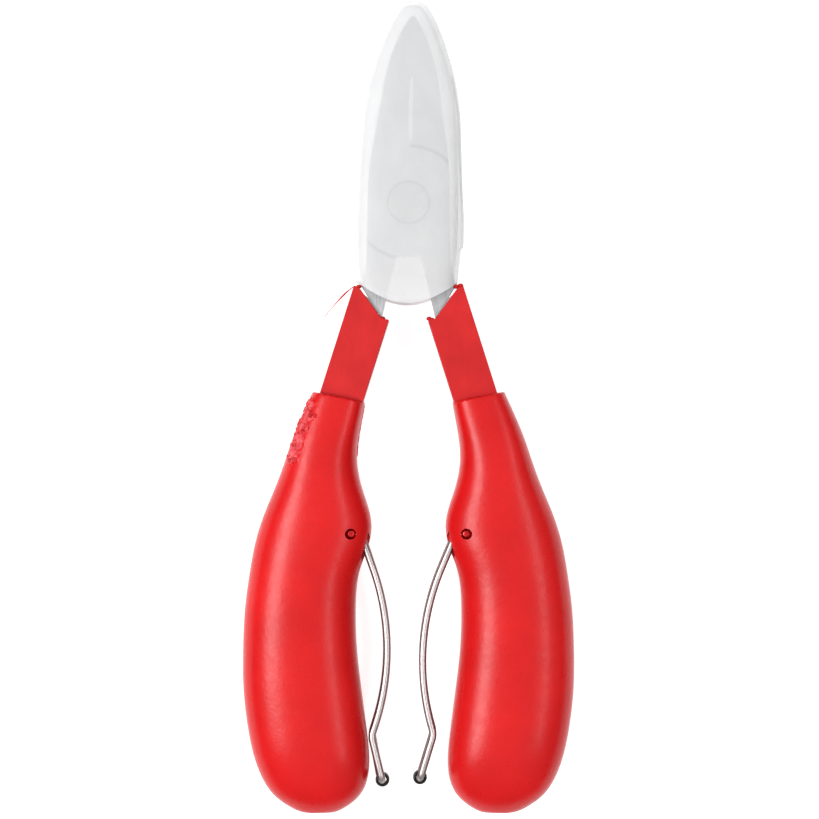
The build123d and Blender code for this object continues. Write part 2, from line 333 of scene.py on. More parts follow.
def ground_steel():
    """Satin ground steel: brush lines along the part, a few scratches, painted shade in the seams.
    """
    f = Finish("ground_steel")
    lines = f.grain(1, 4, 0.6, place=f.stretched((5200, 260, 5200)))
    cross = f.grain(1, 3, 0.6, place=f.stretched((5200, 120, 900), turn=(0, 0, 34)))
    scratch = f.ramp(cross, 0.60, 0.66, 1.0, 0.72)
    tone = f.ramp(lines, 0.25, 0.75, (0.40, 0.405, 0.42), (0.58, 0.585, 0.60))
    cloud = f.ramp(f.grain(260, 3), 0.3, 0.7, 0.84, 1.0)
    colour = f.blend(1.0, f.blend(1.0, tone, cloud, "MULTIPLY"), scratch, "MULTIPLY")
    rough = f.ramp(lines, 0.2, 0.8, 0.32, 0.46)
    relief = f.bump(lines, 0.012, under=f.bump(cross, 0.008))
    # how far from the pivot's axis
    flat = f.add("ShaderNodeMapping")
    flat.inputs["Location"].default_value = (-pivot.x, -pivot.y, 0)
    flat.inputs["Scale"].default_value = (1, 1, 0)
    f.link(f.place, flat.inputs["Vector"])
    reach = f.add("ShaderNodeVectorMath", operation="LENGTH")
    f.link(flat.outputs["Vector"], reach.inputs[0])
    split = f.add("ShaderNodeSeparateXYZ")
    f.link(f.place, split.inputs[0])
    # the painted shade of the lap's seam shows only in the face that the other half's lap lies in
    lap_side = f.add("ShaderNodeAttribute", attribute_name="lap_side").outputs["Fac"]
    above = f.reckon("MULTIPLY", f.reckon("SUBTRACT", split.outputs["Z"], pivot.z), lap_side)
    far = reach.outputs["Value"]
    round_lap = f.reckon("COMPARE", far, LAP_SEAM * MM, SEAM_WIDTH * MM)
    round_lap = f.reckon("MULTIPLY", round_lap, f.reckon("GREATER_THAN", above, 0.0))
    round_rivet = f.reckon("COMPARE", far, RIVET_SEAM * MM, SEAM_WIDTH / 2 * MM)
    painted_seam_shade = f.reckon("MAXIMUM", round_lap, round_rivet)
    return f.wear(
        Base_Color=f.blend(painted_seam_shade, colour, SEAM_SHADE), Metallic=1.0,
        Roughness=rough, Normal=relief,
    )


def rivet_steel():
    """Turned steel: fine rings round the rivet's axis."""
    f = Finish("rivet_steel")
    mapping = f.add("ShaderNodeMapping")
    mapping.inputs["Location"].default_value = (-pivot.x, -pivot.y, 0)
    f.link(f.place, mapping.inputs["Vector"])
    rings = f.add("ShaderNodeTexWave", wave_type="RINGS", rings_direction="Z")
    rings.inputs["Scale"].default_value = 900
    rings.inputs["Distortion"].default_value = 1.2
    f.link(mapping.outputs["Vector"], rings.inputs["Vector"])
    tone = f.ramp(rings.outputs["Fac"], 0.1, 0.9, (0.34, 0.34, 0.35), (0.5, 0.5, 0.51))
    stain = f.ramp(f.grain(500, 3), 0.35, 0.65, 0.8, 1.0)
    return f.wear(
        Base_Color=f.blend(1.0, tone, stain, "MULTIPLY"), Metallic=1.0,
        Roughness=f.ramp(f.grain(900, 2), 0.3, 0.7, 0.3, 0.42),
        Normal=f.bump(rings.outputs["Fac"], 0.01),
    )


def drawn_wire():
    """Bright drawn spring wire with faint die lines, and painted shade along its flanks."""
    f = Finish("drawn_wire")
    lines = f.grain(1, 3, 0.6, place=f.stretched((3600, 90, 3600)))
    tone = f.ramp(lines, 0.25, 0.75, (0.50, 0.45, 0.445), (0.60, 0.55, 0.54))
    patch = f.ramp(f.grain(120, 3), 0.35, 0.65, 0.92, 1.0)
    bright = f.blend(1.0, tone, patch, "MULTIPLY")
    # painted shade: near-black laid over the wire where its skin faces sideways, standing in for
    # dark reflections
    painted_flank_shade = f.add("ShaderNodeAttribute", attribute_name="tarnish").outputs["Fac"]
    return f.wear(
        Base_Color=f.blend(painted_flank_shade, bright, (0.075, 0.06, 0.058)), Metallic=1.0,
        Roughness=f.ramp(f.grain(800, 2), 0.3, 0.7, 0.34, 0.42),
        Normal=f.bump(lines, 0.002),
    )


def pin_steel(name, dark, light, low, high):
    """Plain cut wire, dulled, with saw marks across its ends."""
    f = Finish(name)
    marks = f.grain(1, 3, 0.6, place=f.stretched((800, 5200, 5200), turn=(0, 0, 25)))
    tone = f.ramp(marks, 0.3, 0.7, dark, light)
    return f.wear(
        Base_Color=tone, Metallic=1.0, Normal=f.bump(marks, 0.015),
        Roughness=f.ramp(f.grain(1200, 2), 0.3, 0.7, low, high),
    )


def milky_cap():
    """Soft milky plastic that lets the steel show through."""
    f = Finish("milky_cap")
    cloud = f.grain(140, 3, warp=0.6)
    colour = f.ramp(cloud, 0.3, 0.7, (0.768, 0.770, 0.779), (0.808, 0.810, 0.816))
    skin = f.bump(f.grain(900, 2), 0.012, under=f.bump(f.grain(110, 1), 0.04))
    return f.wear(
        Base_Color=colour, Normal=skin, Alpha=0.46,
        Roughness=f.ramp(f.grain(300, 2), 0.3, 0.7, 0.42, 0.5), IOR=1.45,
        Specular_IOR_Level=0.25,
    )


# ---- Springs ----

WIRE_RADIUS = 0.75
WIRE_SIDES = 20
EYE_RADIUS = 1.83                 # to the middle of the wire
# painted shade along the wire's flanks: how far its skin faces up where that starts and is full
EDGE_SHADE_FROM, EDGE_SHADE_FULL = 0.90, 0.52
INNER_EDGE_SHADE = 0.62              # how dark the painted shade is on the flank that faces the other spring
LEG_UP = 2.5                      # from the middle plane to each leg
SPRING_LEAN = radians(-1.7)       # how both springs lie as stored
# one leg of the right-hand spring from its pin: where it leaves the eye, then the bow's corner,
# the kink and the leg's end, with the bend's radius at each
EYE_START = (-1.655, 0.781)
LEG_CORNERS = ((-10.8, -22.9, 49.0), (-5.35, -40.8, 3.4), (-7.8, -49.8, 1.25))
BEND_STEPS = [40, 10, 10]
# how far the rear leg's corners stand in towards the gap
REAR_STANDS_IN = {"left": (0.55, 0.0, 0.55), "right": (0.0, 0.0, 0.0)}


def spring_spot(side, x, y, up):
    """A point on a spring, from its pin, leaned as stored."""
    sign = SIDES[side]
    turned = Matrix.Rotation(SPRING_LEAN, 3, "Z") @ Vector((sign * x * MM, y * MM, 0))
    return spring_pin_place[side] + turned + Vector((0, 0, up * MM))


def bend_wire(name, spots, radii, steps):
    """One wire through these corners: straight runs drawn out, corners spun round."""
    way = (spots[1] - spots[0]).normalized()
    bpy.ops.mesh.primitive_circle_add(
        vertices=WIRE_SIDES, radius=WIRE_RADIUS * MM, fill_type="NGON",
        location=spots[0], rotation=way.to_track_quat("Z", "Y").to_euler(),
    )
    piece = start_piece(name)
    open_up(piece, "FACE")
    bpy.ops.mesh.select_all(action="SELECT")
    here = spots[0]
    for corner, after, radius, parts in zip(spots[1:], spots[2:], radii, steps):
        onward = (after - corner).normalized()
        turn = way.angle(onward)
        axis = way.cross(onward).normalized()
        meet = corner - way * radius * MM * tan(turn / 2)
        centre = meet + axis.cross(way) * radius * MM
        draw_out(meet - here)
        # spin turns the other way about its axis
        bpy.ops.mesh.spin(steps=parts, angle=-turn, center=centre, axis=axis)
        here = corner + onward * radius * MM * tan(turn / 2)
        way = onward
    draw_out(spots[-1] - here)
    close_up()
    return piece


def make_spring(side, material):
    """Hairpin spring: eye, bowed leg, crossbar, bowed leg, eye."""
    rear = [(x + shift, y) for (x, y, _), shift in zip(LEG_CORNERS, REAR_STANDS_IN[side])]
    spots = [spring_spot(side, *EYE_START, LEG_UP)]
    spots += [spring_spot(side, x, y, LEG_UP) for x, y, _ in LEG_CORNERS]
    spots += [spring_spot(side, x, y, -LEG_UP) for x, y in reversed(rear)]
    spots += [spring_spot(side, *EYE_START, -LEG_UP)]
    radii = [radius for _, _, radius in LEG_CORNERS]
    piece = bend_wire(
        "spring_" + side + "_wire", spots, radii + radii[::-1], BEND_STEPS + BEND_STEPS[::-1],
    )
    eyes = []
    for up in (LEG_UP, -LEG_UP):
        at = spring_pin_place[side] + Vector((0, 0, up * MM))
        bpy.ops.mesh.primitive_torus_add(
            location=at, major_radius=EYE_RADIUS * MM, minor_radius=WIRE_RADIUS * MM,
            major_segments=40, minor_segments=WIRE_SIDES,
        )
        eyes.append(start_piece("eye"))
    join(piece, *eyes)
    tidy_mesh(piece, 50)
    # painted shade on the flanks, set by how far each vertex's skin turns from facing up
    tarnish = piece.data.attributes.new("tarnish", "FLOAT", "POINT")
    for vertex in piece.data.vertices:
        share = (EDGE_SHADE_FROM - abs(vertex.normal.z)) / (EDGE_SHADE_FROM - EDGE_SHADE_FULL)
        full = 1.0 if SIDES[side] * vertex.normal.x > 0 else INNER_EDGE_SHADE
        tarnish.data[vertex.index].value = max(0.0, min(1.0, share)) * full
    fit_out(piece, side + "_spring", "spring_" + side, material)


# ---- Grips ----

# place down from the pivot, squareness of the section there
GRIP_STATIONS = (
    (-36.0, 4.6), (-39.0, 4.4), (-43.0, 4.0), (-47.5, 3.4), (-52.0, 3.0), (-57.0, 2.8),
    (-62.0, 2.7), (-66.0, 2.65), (-70.0, 2.6), (-75.0, 2.55), (-82.0, 2.5), (-90.0, 2.5),
    (-98.0, 2.5), (-105.5, 2.5), (-111.5, 2.5), (-116.2, 2.5), (-119.8, 2.5), (-122.2, 2.4),
)
GRIP_END = -123.25
# how far the inner wall's shoulders stand out towards the other grip
FLAT_WALL = {
    -52.0: 0.2, -57.0: 0.35, -62.0: 0.4, -66.0: 0.4, -70.0: 0.4, -75.0: 0.4, -82.0: 0.35,
    -90.0: 0.3, -98.0: 0.3, -105.5: 0.2,
}
TOP_SLICES = (-41.3, -44.0)                      # just below the sloping end face
RING_POINTS = 16
CAGE = cage_factor(RING_POINTS)
END_FACE_PLACE = Vector((14.15, -39.1, 0))       # on the face round the neck
END_FACE_SLOPE = radians(11)
# up from the saw cut, and in from the side
END_ROUNDING = ((0.20, 0.03), (0.36, 0.12), (0.46, 0.26), (0.50, 0.45))
BUTT_RING = 0.62                                 # the last ring's size beside the one before
PIN_HOLE_RADIUS = 1.1
PIN_HOLE_DEPTH = 30
# each leg of a spring has its own slot, so a web is left between the two
POCKET_RADIUS = 2.9
CHANNEL_RADIUS = 1.55
SLOT_HEIGHT = 2.0
SLOT_REACH = 16
PARTING_WIDTH = 0.22
PARTING_PROUD = 0.07
FACE_INSET = 0.12                                # the smoothed faces swell back out by this much


def square_up(piece, centre, half_width, half_height, now, before):
    """Push a ring's corner points out, or in, to change how square it is."""
    for step in (1, 2):
        angle = step * pi / 8
        factor = squareness_factor(now, angle) / squareness_factor(before, angle)

        def on_corner(v):
            x = abs(v.co.x - centre.x) / half_width
            z = abs(v.co.z - centre.z) / half_height
            if abs(v.co.y - centre.y) > NEAR or x < 0.05 or z < 0.05:
                return False
            diagonal = abs(atan2(z, x) - pi / 4) < 0.1
            return diagonal == (step == 2)

        pick(piece, "verts", on_corner)
        bpy.ops.transform.resize(value=(factor, 1, factor), center_override=centre)


def grip_rings(side):
    """Place, squareness and sides of each ring, read off the CAD grip."""
    node = "grip_" + side
    rings = []
    top = [slice_of(node, pivot.y + place * MM) for place in TOP_SLICES]
    for place, square in GRIP_STATIONS:
        if place > TOP_SLICES[0]:
            # carry the sides on past the end face
            share = (place - TOP_SLICES[0]) / (TOP_SLICES[0] - TOP_SLICES[1])
            size = [a + (a - b) * share for a, b in zip(*top)]
        else:
            size = slice_of(node, pivot.y + place * MM)
        rings.append((place, square, *size))
    return rings


def flatten_inner_wall(piece, side, rings):
    """Push out the shoulders of the wall that faces the other grip, flatter than the outer one."""
    sign = SIDES[side]
    for place, square, low_x, high_x, low_z, high_z in rings:
        if place not in FLAT_WALL:
            continue
        y = pivot.y + place * MM
        mid_x = (low_x + high_x) / 2
        tall = min((high_z - low_z) / 2, pivot.z) * CAGE
        pick(piece, "verts", lambda v: abs(v.co.y - y) < NEAR
             and sign * (v.co.x - mid_x) < 0
             and 0.3 < abs(v.co.z - pivot.z) / tall < 0.5)
        bpy.ops.transform.translate(value=(-sign * FLAT_WALL[place] * MM, 0, 0))


def grip_body(side):
    """The closed pillow of a grip, ring by ring from above its end face to its butt."""
    rings = grip_rings(side)
    place, square, low_x, high_x, low_z, high_z = rings[0]
    centre = Vector(((low_x + high_x) / 2, pivot.y + place * MM, pivot.z))
    half_width = (high_x - low_x) / 2 * CAGE
    half_height = (high_z - low_z) / 2 * CAGE
    bpy.ops.mesh.primitive_circle_add(
        vertices=RING_POINTS, radius=1, location=centre, rotation=(pi / 2, 0, 0),
    )
    bpy.context.active_object.scale = (half_width, half_height, 1)
    piece = start_piece("grip_" + side + "_body")
    open_up(piece)
    square_up(piece, centre, half_width, half_height, square, 2.0)
    for place, now, low_x, high_x, low_z, high_z in rings[1:]:
        after = Vector(((low_x + high_x) / 2, pivot.y + place * MM, pivot.z))
        new_width = ((high_x - low_x) / 2 - PARTING_PROUD * MM) * CAGE
        new_height = min((high_z - low_z) / 2, pivot.z - FACE_INSET * MM) * CAGE
        pick_ring(piece, centre.y)
        draw_out(after - centre)
        bpy.ops.transform.resize(
            value=(new_width / half_width, 1, new_height / half_height), center_override=after,
        )
        if now != square:
            square_up(piece, after, new_width, new_height, now, square)
        centre, half_width, half_height, square = after, new_width, new_height, now
    flatten_inner_wall(piece, side, rings)
    # butt: a last small ring, closed with a grid of faces
    pick_ring(piece, centre.y)
    tip = Vector((centre.x, pivot.y + GRIP_END * MM, centre.z))
    draw_out(tip - centre)
    bpy.ops.transform.resize(value=(BUTT_RING, 1, BUTT_RING), center_override=tip)
    bpy.ops.mesh.fill_grid(span=RING_POINTS // 4)
    close_up()
    subdivide_smooth(piece, 3)
    return piece


def trim_end_face(piece, side):
    """Saw the grip off short of its sloping end face, then draw the edge up and round it in."""
    sign = SIDES[side]
    facing = Vector((-sign * sin(END_FACE_SLOPE), cos(END_FACE_SLOPE), 0))
    on_face = Vector((sign * END_FACE_PLACE.x * MM, pivot.y + END_FACE_PLACE.y * MM, pivot.z))
    on_saw = on_face - facing * END_ROUNDING[-1][0] * MM
    open_up(piece)
    bpy.ops.mesh.select_all(action="SELECT")
    bpy.ops.mesh.bisect(plane_co=on_saw, plane_no=facing, use_fill=False, clear_outer=True)
    pick(piece, "edges", lambda e: len(e.link_faces) == 1)
    cage = bmesh.from_edit_mesh(piece.data)
    rim = [v.co for v in cage.verts if v.select]
    centre = sum(rim, Vector()) / len(rim)
    reach = min((spot - centre).length for spot in rim)
    height, scale = 0.0, 1.0
    for up, inwards in END_ROUNDING:
        draw_out(facing * (up - height) * MM)
        now = 1 - inwards * MM / reach
        bpy.ops.transform.resize(
            value=(now / scale,) * 3, center_override=centre + facing * up * MM,
        )
        height, scale = up, now
    bpy.ops.mesh.edge_face_add()
    close_up()


def parting_line(piece):
    """A thin proud line where the two mould halves met."""
    open_up(piece)
    pick(piece, "edges", lambda e: all(abs(v.co.z - pivot.z) < NEAR for v in e.verts)
         and all(len(f.verts) == 4 for f in e.link_faces))
    bpy.ops.mesh.bevel(offset=PARTING_WIDTH / 2 * MM, segments=2, affect="EDGES")
    pick(piece, "verts", lambda v: abs(v.co.z - pivot.z) < NEAR
         and all(abs(e.other_vert(v).co.z - pivot.z) < PARTING_WIDTH * MM for e in v.link_edges))
    bpy.ops.transform.shrink_fatten(value=PARTING_PROUD * MM)
    close_up()


def spring_slot_cutters(side):
    """For each leg of the spring, a round pocket for its eye and a channel that it leaves by."""
    cutters = []
    for up in (LEG_UP, -LEG_UP):
        leg = spring_spot(side, *EYE_START, up)
        bow_x, bow_y, _ = LEG_CORNERS[0]
        way = (spring_spot(side, bow_x, bow_y, up) - leg).normalized()
        eye = spring_pin_place[side] + Vector((0, 0, up * MM))
        for radius, at in ((POCKET_RADIUS, eye), (CHANNEL_RADIUS, leg)):
            bpy.ops.mesh.primitive_cylinder_add(
                vertices=48, radius=radius * MM, depth=SLOT_HEIGHT * MM, location=at,
            )
            cutters.append(start_piece("slot_cutter"))
        open_up(cutters[-1])
        pick(cutters[-1], "verts", lambda v: (v.co - leg).dot(way) > NEAR)
        bpy.ops.transform.translate(value=way * SLOT_REACH * MM)
        close_up()
    return cutters


def pin_hole_cutter(side):
    """A drill that goes right through the grip."""
    at = spring_pin_place[side]
    bpy.ops.mesh.primitive_cylinder_add(
        vertices=48, radius=PIN_HOLE_RADIUS * MM, depth=PIN_HOLE_DEPTH * MM,
        location=at,
    )
    return start_piece("hole_cutter")


# the chewed shoulder of the left grip: x and place along its middle
CHEWED = (
    (-19.8, -40.6), (-20.2, -43.4), (-21.3, -44.9), (-21.4, -46.3), (-22.0, -47.8),
    (-22.1, -49.0), (-22.7, -49.6), (-23.2, -51.6),
)
CHEWED_REACH = 1.15               # how wide it is to each side
CHEWED_WITHIN = (-18.0, -56.0)    # it is marked as worn only beyond this x and above this place
# from, to, push: the grain's range that is pushed in or pulled out
CRUMBS = ((-1.0, -0.22, -0.22), (-0.22, -0.05, -0.08), (0.08, 0.25, 0.08), (0.25, 1.0, 0.17))
# the torn parting line: from and to along the length, its outer x, how far it stands up
TORN_FROM, TORN_TO, TORN_EDGE, TORN_PROUD = -40.9, -51.0, -12.5, 0.22


def chewed_share(spot):
    """How deep into the chewed band a spot is, from 0 at its edge to 1 along its middle."""
    x, place = spot.x / MM, (spot.y - pivot.y) / MM
    nearest = min(
        ((x - a) ** 2 + (place - b) ** 2) ** 0.5
        for a, b in [
            (p[0] + (q[0] - p[0]) * t / 4, p[1] + (q[1] - p[1]) * t / 4)
            for p, q in zip(CHEWED, CHEWED[1:]) for t in range(5)
        ]
    )
    ragged = CHEWED_REACH * (1 + 0.8 * noise.noise(spot / MM * 0.8))
    return max(0.0, 1 - nearest / ragged) if spot.z > pivot.z else 0.0


def chew_shoulder(piece):
    """Break up the skin over the chewed band: finer faces, then pits and torn crumbs."""
    open_up(piece)
    for _ in range(2):
        pick(piece, "faces", lambda f: chewed_share(f.calc_center_median()) > 0.0)
        bpy.ops.mesh.subdivide(number_cuts=1)
    for low, high, push in CRUMBS:
        pick(piece, "verts", lambda v: chewed_share(v.co) > 0.12
             and low < noise.noise(v.co / MM * 1.25 + Vector((7.3, 1.9, 4.1))) < high)
        bpy.ops.transform.shrink_fatten(value=push * MM)
    pick(piece, "verts", lambda v: chewed_share(v.co) > 0.0)
    bpy.ops.transform.vertex_random(offset=0.02 * MM, normal=0.7, seed=4)
    close_up()
    worn = piece.data.attributes.new("worn", "FLOAT", "POINT")
    outer_x, lowest = CHEWED_WITHIN[0] * MM, pivot.y + CHEWED_WITHIN[1] * MM
    for vertex in piece.data.vertices:
        spot = vertex.co
        if spot.z > pivot.z and spot.x < outer_x and spot.y > lowest:
            worn.data[vertex.index].value = min(1.0, 2.2 * chewed_share(spot))


def torn_parting(piece):
    """The left grip's parting line is torn up along the top of its inner side."""
    open_up(piece)
    pick(piece, "verts", lambda v: abs(v.co.z - pivot.z) < 0.02 * MM
         and v.co.x > TORN_EDGE * MM and TORN_FROM > (v.co.y - pivot.y) / MM > TORN_TO)
    bpy.ops.transform.translate(value=(TORN_PROUD * MM, 0, 0))
    bpy.ops.transform.vertex_random(offset=0.09 * MM, uniform=0.2, seed=11)
    close_up()


def make_grip(side, material):
    """A moulded grip with its slots, its pin hole and, on the left, its damage."""
    piece = grip_body(side)
    parting_line(piece)
    trim_end_face(piece, side)
    if side == "left":
        torn_parting(piece)
        chew_shoulder(piece)
    for cutter in spring_slot_cutters(side):
        cut_away(piece, cutter)
    cut_away(piece, pin_hole_cutter(side))
    tidy_mesh(piece, 40)
    fit_out(piece, GRIP_BODY[side], "grip_" + side, material)


# ---- Steel, rivet, pins and rollers ----

JAW_LEAN = radians(1.4)                   # the jaws and the cap lean this much to the right
SHOULDER = Vector((6.9, -19.7, 0))        # a point on the right tang's slanted shoulder
SHOULDER_FACING = Vector((0.845, -0.535, 0))
SHOULDER_MOVE = 0.65                      # the shoulder stands this much nearer the neck
SLANT_REACH = 3.6                         # the slanted ends lie within this of their point
JAW_START = 0.5                           # the jaws start this far above the pivot


def make_machined(node, name, body, material, width, steps, shape=None, scraps=()):
    """A CAD part with its edges softened; a shaping step and loose scraps may be added."""
    piece = machined_copy(node, name)
    if shape is not None:
        shape(piece)
    soften_edges(piece, width, steps)
    join(piece, *scraps)
    tidy_mesh(piece, 35)
    # keep the flats flat up to their softened edges
    finish_modifier(piece, "WEIGHTED_NORMAL", mode="FACE_AREA", weight=100, keep_sharp=True)
    fit_out(piece, body, node, material)
    return piece


def mirrored(vector, sign):
    """A right-hand vector as it is on one side: 1 keeps it, -1 turns it over."""
    return Vector((sign * vector.x, vector.y, vector.z))


def lean_over(piece, wanted):
    """Turn the wanted vertices about the pivot by the jaws' lean."""
    open_up(piece)
    pick(piece, "verts", wanted)
    # the operator turns the other way about Z
    bpy.ops.transform.rotate(value=JAW_LEAN, orient_axis="Z", center_override=pivot)
    close_up()


def shape_steel(tang_sign):
    """Move the tang's shoulder out to the neck and lean the jaw over."""
    facing = mirrored(SHOULDER_FACING, tang_sign)
    spot = pivot + mirrored(SHOULDER, tang_sign) * MM

    def shape(piece):
        open_up(piece)
        pick(piece, "verts", lambda v: abs((v.co - spot).dot(facing)) < 0.08 * MM
             and abs(v.co.y - spot.y) < SLANT_REACH * MM)
        bpy.ops.transform.translate(value=facing * SHOULDER_MOVE * MM)
        close_up()
        lean_over(piece, lambda v: v.co.y > pivot.y + JAW_START * MM)

    return shape


def make_jaw(which, tang_sign, lap_side, material):
    """One steel half; lap_side is 1 where the other half's lap lies in its front face."""
    piece = make_machined(
        "jaw_" + which, "jaw_" + which + "_steel", which + "_half", material,
        width=0.28, steps=3, shape=shape_steel(tang_sign),
    )
    side = piece.data.attributes.new("lap_side", "FLOAT", "POINT")
    for spot in side.data:
        spot.value = lap_side


# ---- Neck sleeves ----

NECK_END = Vector((7.67, -20.25, 0))      # a point on the right sleeve's slanted end
REAR_LIP = 1.0                            # the rear wall reaches this much further
# ragged lumps left at the slanted end: side, place, size
NECK_LUMPS = {
    "left": (
        ((-5.3, -23.45, 2.9), 0.62), ((-4.7, -24.1, 3.1), 0.55), ((-10.0, -16.95, 2.9), 0.5),
    ),
    "right": (
        ((4.15, -23.4, 2.9), 0.52), ((4.75, -23.6, 3.2), 0.5), ((9.6, -16.95, 2.9), 0.55),
        ((10.5, -16.7, 2.9), 0.5),
    ),
}
# a curl of flash that hangs off the left sleeve: x, place, width
WHISKER = (
    (-10.6, -16.95, 0.26), (-10.74, -16.66, 0.22), (-11.45, -17.2, 0.18), (-12.47, -18.0, 0.34),
    (-13.28, -18.8, 0.44), (-14.1, -19.7, 0.26), (-15.1, -20.8, 0.16), (-15.9, -21.7, 0.12),
    (-16.6, -22.6, 0.14), (-16.9, -23.1, 0.12),
)
WHISKER_UP = 2.4                          # above the middle plane
WHISKER_THICK = 0.45                      # of its width


def lump(spot, size, seed):
    """A torn crumb of plastic."""
    bpy.ops.mesh.primitive_ico_sphere_add(subdivisions=3, radius=size * MM, location=spot)
    crumb = start_piece("crumb")
    open_up(crumb)
    bpy.ops.mesh.select_all(action="SELECT")
    bpy.ops.transform.vertex_random(offset=0.07 * MM, normal=0.6, seed=seed)
    bpy.ops.transform.resize(value=(1.15, 0.8, 1.3), center_override=spot)
    bpy.ops.mesh.vertices_smooth(factor=0.4)
    close_up()
    return crumb


def whisker():
    """A thin curl of flash, drawn out spot by spot."""
    spots = [pivot + Vector((x * MM, place * MM, WHISKER_UP * MM)) for x, place, _ in WHISKER]
    way = (spots[1] - spots[0]).normalized()
    width = WHISKER[0][2]
    bpy.ops.mesh.primitive_circle_add(
        vertices=8, radius=width / 2 * MM, fill_type="NGON", location=spots[0],
        rotation=way.to_track_quat("Z", "X").to_euler(),
    )
    curl = start_piece("whisker")
    open_up(curl, "FACE")
    bpy.ops.mesh.select_all(action="SELECT")
    before = spots[0]
    for number, (spot, row) in enumerate(zip(spots[1:], WHISKER[1:])):
        draw_out(spot - before)
        onward = (spots[min(number + 2, len(spots) - 1)] - before).normalized()
        turn = way.to_2d().angle_signed(onward.to_2d(), 0.0)
        # the operator turns the other way about Z
        bpy.ops.transform.rotate(value=turn, orient_axis="Z", center_override=spot)
        bpy.ops.transform.resize(value=(row[2] / width,) * 3, center_override=spot)
        way, width, before = onward, row[2], spot
    bpy.ops.mesh.select_all(action="SELECT")
    bpy.ops.transform.resize(
        value=(1, 1, WHISKER_THICK), center_override=(0, 0, spots[0].z),
    )
    close_up()
    subdivide_smooth(curl, 1)
    return curl


def shape_sleeve(side):
    """Draw the rear wall of the slanted end further up the tang."""
    facing = mirrored(SHOULDER_FACING, SIDES[side])
    spot = pivot + mirrored(NECK_END, SIDES[side]) * MM

    def shape(piece):
        open_up(piece)
        pick(piece, "verts", lambda v: abs((v.co - spot).dot(facing)) < 0.12 * MM
             and abs(v.co.y - spot.y) < SLANT_REACH * MM and v.co.z < pivot.z)
        bpy.ops.transform.translate(value=facing * -REAR_LIP * MM)
        close_up()

    return shape


def make_sleeve(side, material):
    """The moulded core, with its long rear lip and the flash left on its end."""
    scraps = [
        lump(pivot + Vector(at) * MM, size, seed)
        for seed, (at, size) in enumerate(NECK_LUMPS[side])
    ]
    if side == "left":
        scraps.append(whisker())
    make_machined(
        "neck_sleeve_" + side, "neck_" + side + "_sleeve", GRIP_BODY[side],
        material, width=0.18, steps=3, shape=shape_sleeve(side), scraps=scraps,
    )


# ---- Cap ----

CAP_POINTS = 24
CAP_WALL = 0.85
# the rim is bowed: its place in the middle and at the sides, the half width there
CAP_RIM, CAP_RIM_SIDE, CAP_HALF_WIDTH = -20.45, -16.3, 9.9
CAP_RIM_NARROW = 0.985            # the rim's width beside the ring before it
RIM_NEAR = 1.01e-7                # a point of the rim that isn't bowed yet is this close to it
# place along the cap from the pivot, squareness of the section, fullness of its width
CAP_STATIONS = (
    (41.06, 2.3, 0.95), (40.75, 2.4, 1.35), (39.9, 2.6, 1.24), (38.6, 3.0, 1.15),
    (35.6, 3.8, 1.12), (30.7, 4.6, 1.09), (25.0, 5.0, 1.085), (18.0, 5.2, 1.075),
    (10.0, 5.2, 1.06), (3.0, 5.2, 1.045), (-7.4, 5.2, 1.02), (-14.0, 5.2, 1.01),
)
# flash left along the cap's right side: place down the length, how far it stands out
CAP_FLASH = (
    (26.0, 0.45), (18.0, 0.52), (10.0, 0.56), (3.0, 0.60), (-3.0, 0.62), (-7.5, 0.62),
    (-8.6, 0.60), (-9.1, 0.1),
)
# its section, the stub that it is drawn from, and how far it is let into the wall
FLASH_WIDE, FLASH_TALL, FLASH_STUB, FLASH_SUNK = 0.5, 0.7, 0.02, 0.25
FLASH_STEP = 0.001                # the first draw is not nothing


def cap_flash():
    """A thin ridge along one side that grows towards the rim and breaks off short of it."""
    spots = []
    for place, proud in CAP_FLASH:
        _, high_x, _, _ = slice_of("blade_cap", pivot.y + place * MM)
        spots.append(Vector((high_x + proud * MM, pivot.y + place * MM, pivot.z)))
    bpy.ops.mesh.primitive_cube_add(size=1, location=spots[0])
    bpy.context.active_object.scale = (FLASH_WIDE * MM, FLASH_STUB * MM, FLASH_TALL * MM)
    ridge = start_piece("flash")
    open_up(ridge, "FACE")
    before = spots[0]
    for spot in spots:
        pick(ridge, "faces", lambda f: f.normal.y < -0.5
             and f.calc_center_median().y < before.y + FLASH_STEP * MM)
        draw_out(spot - before - Vector((0, FLASH_STEP * MM, 0)))
        before = spot
    bpy.ops.mesh.select_all(action="SELECT")
    bpy.ops.transform.translate(value=(-FLASH_SUNK * MM, 0, 0))
    close_up()
    soften_edges(ridge, 0.12, 2)
    return ridge


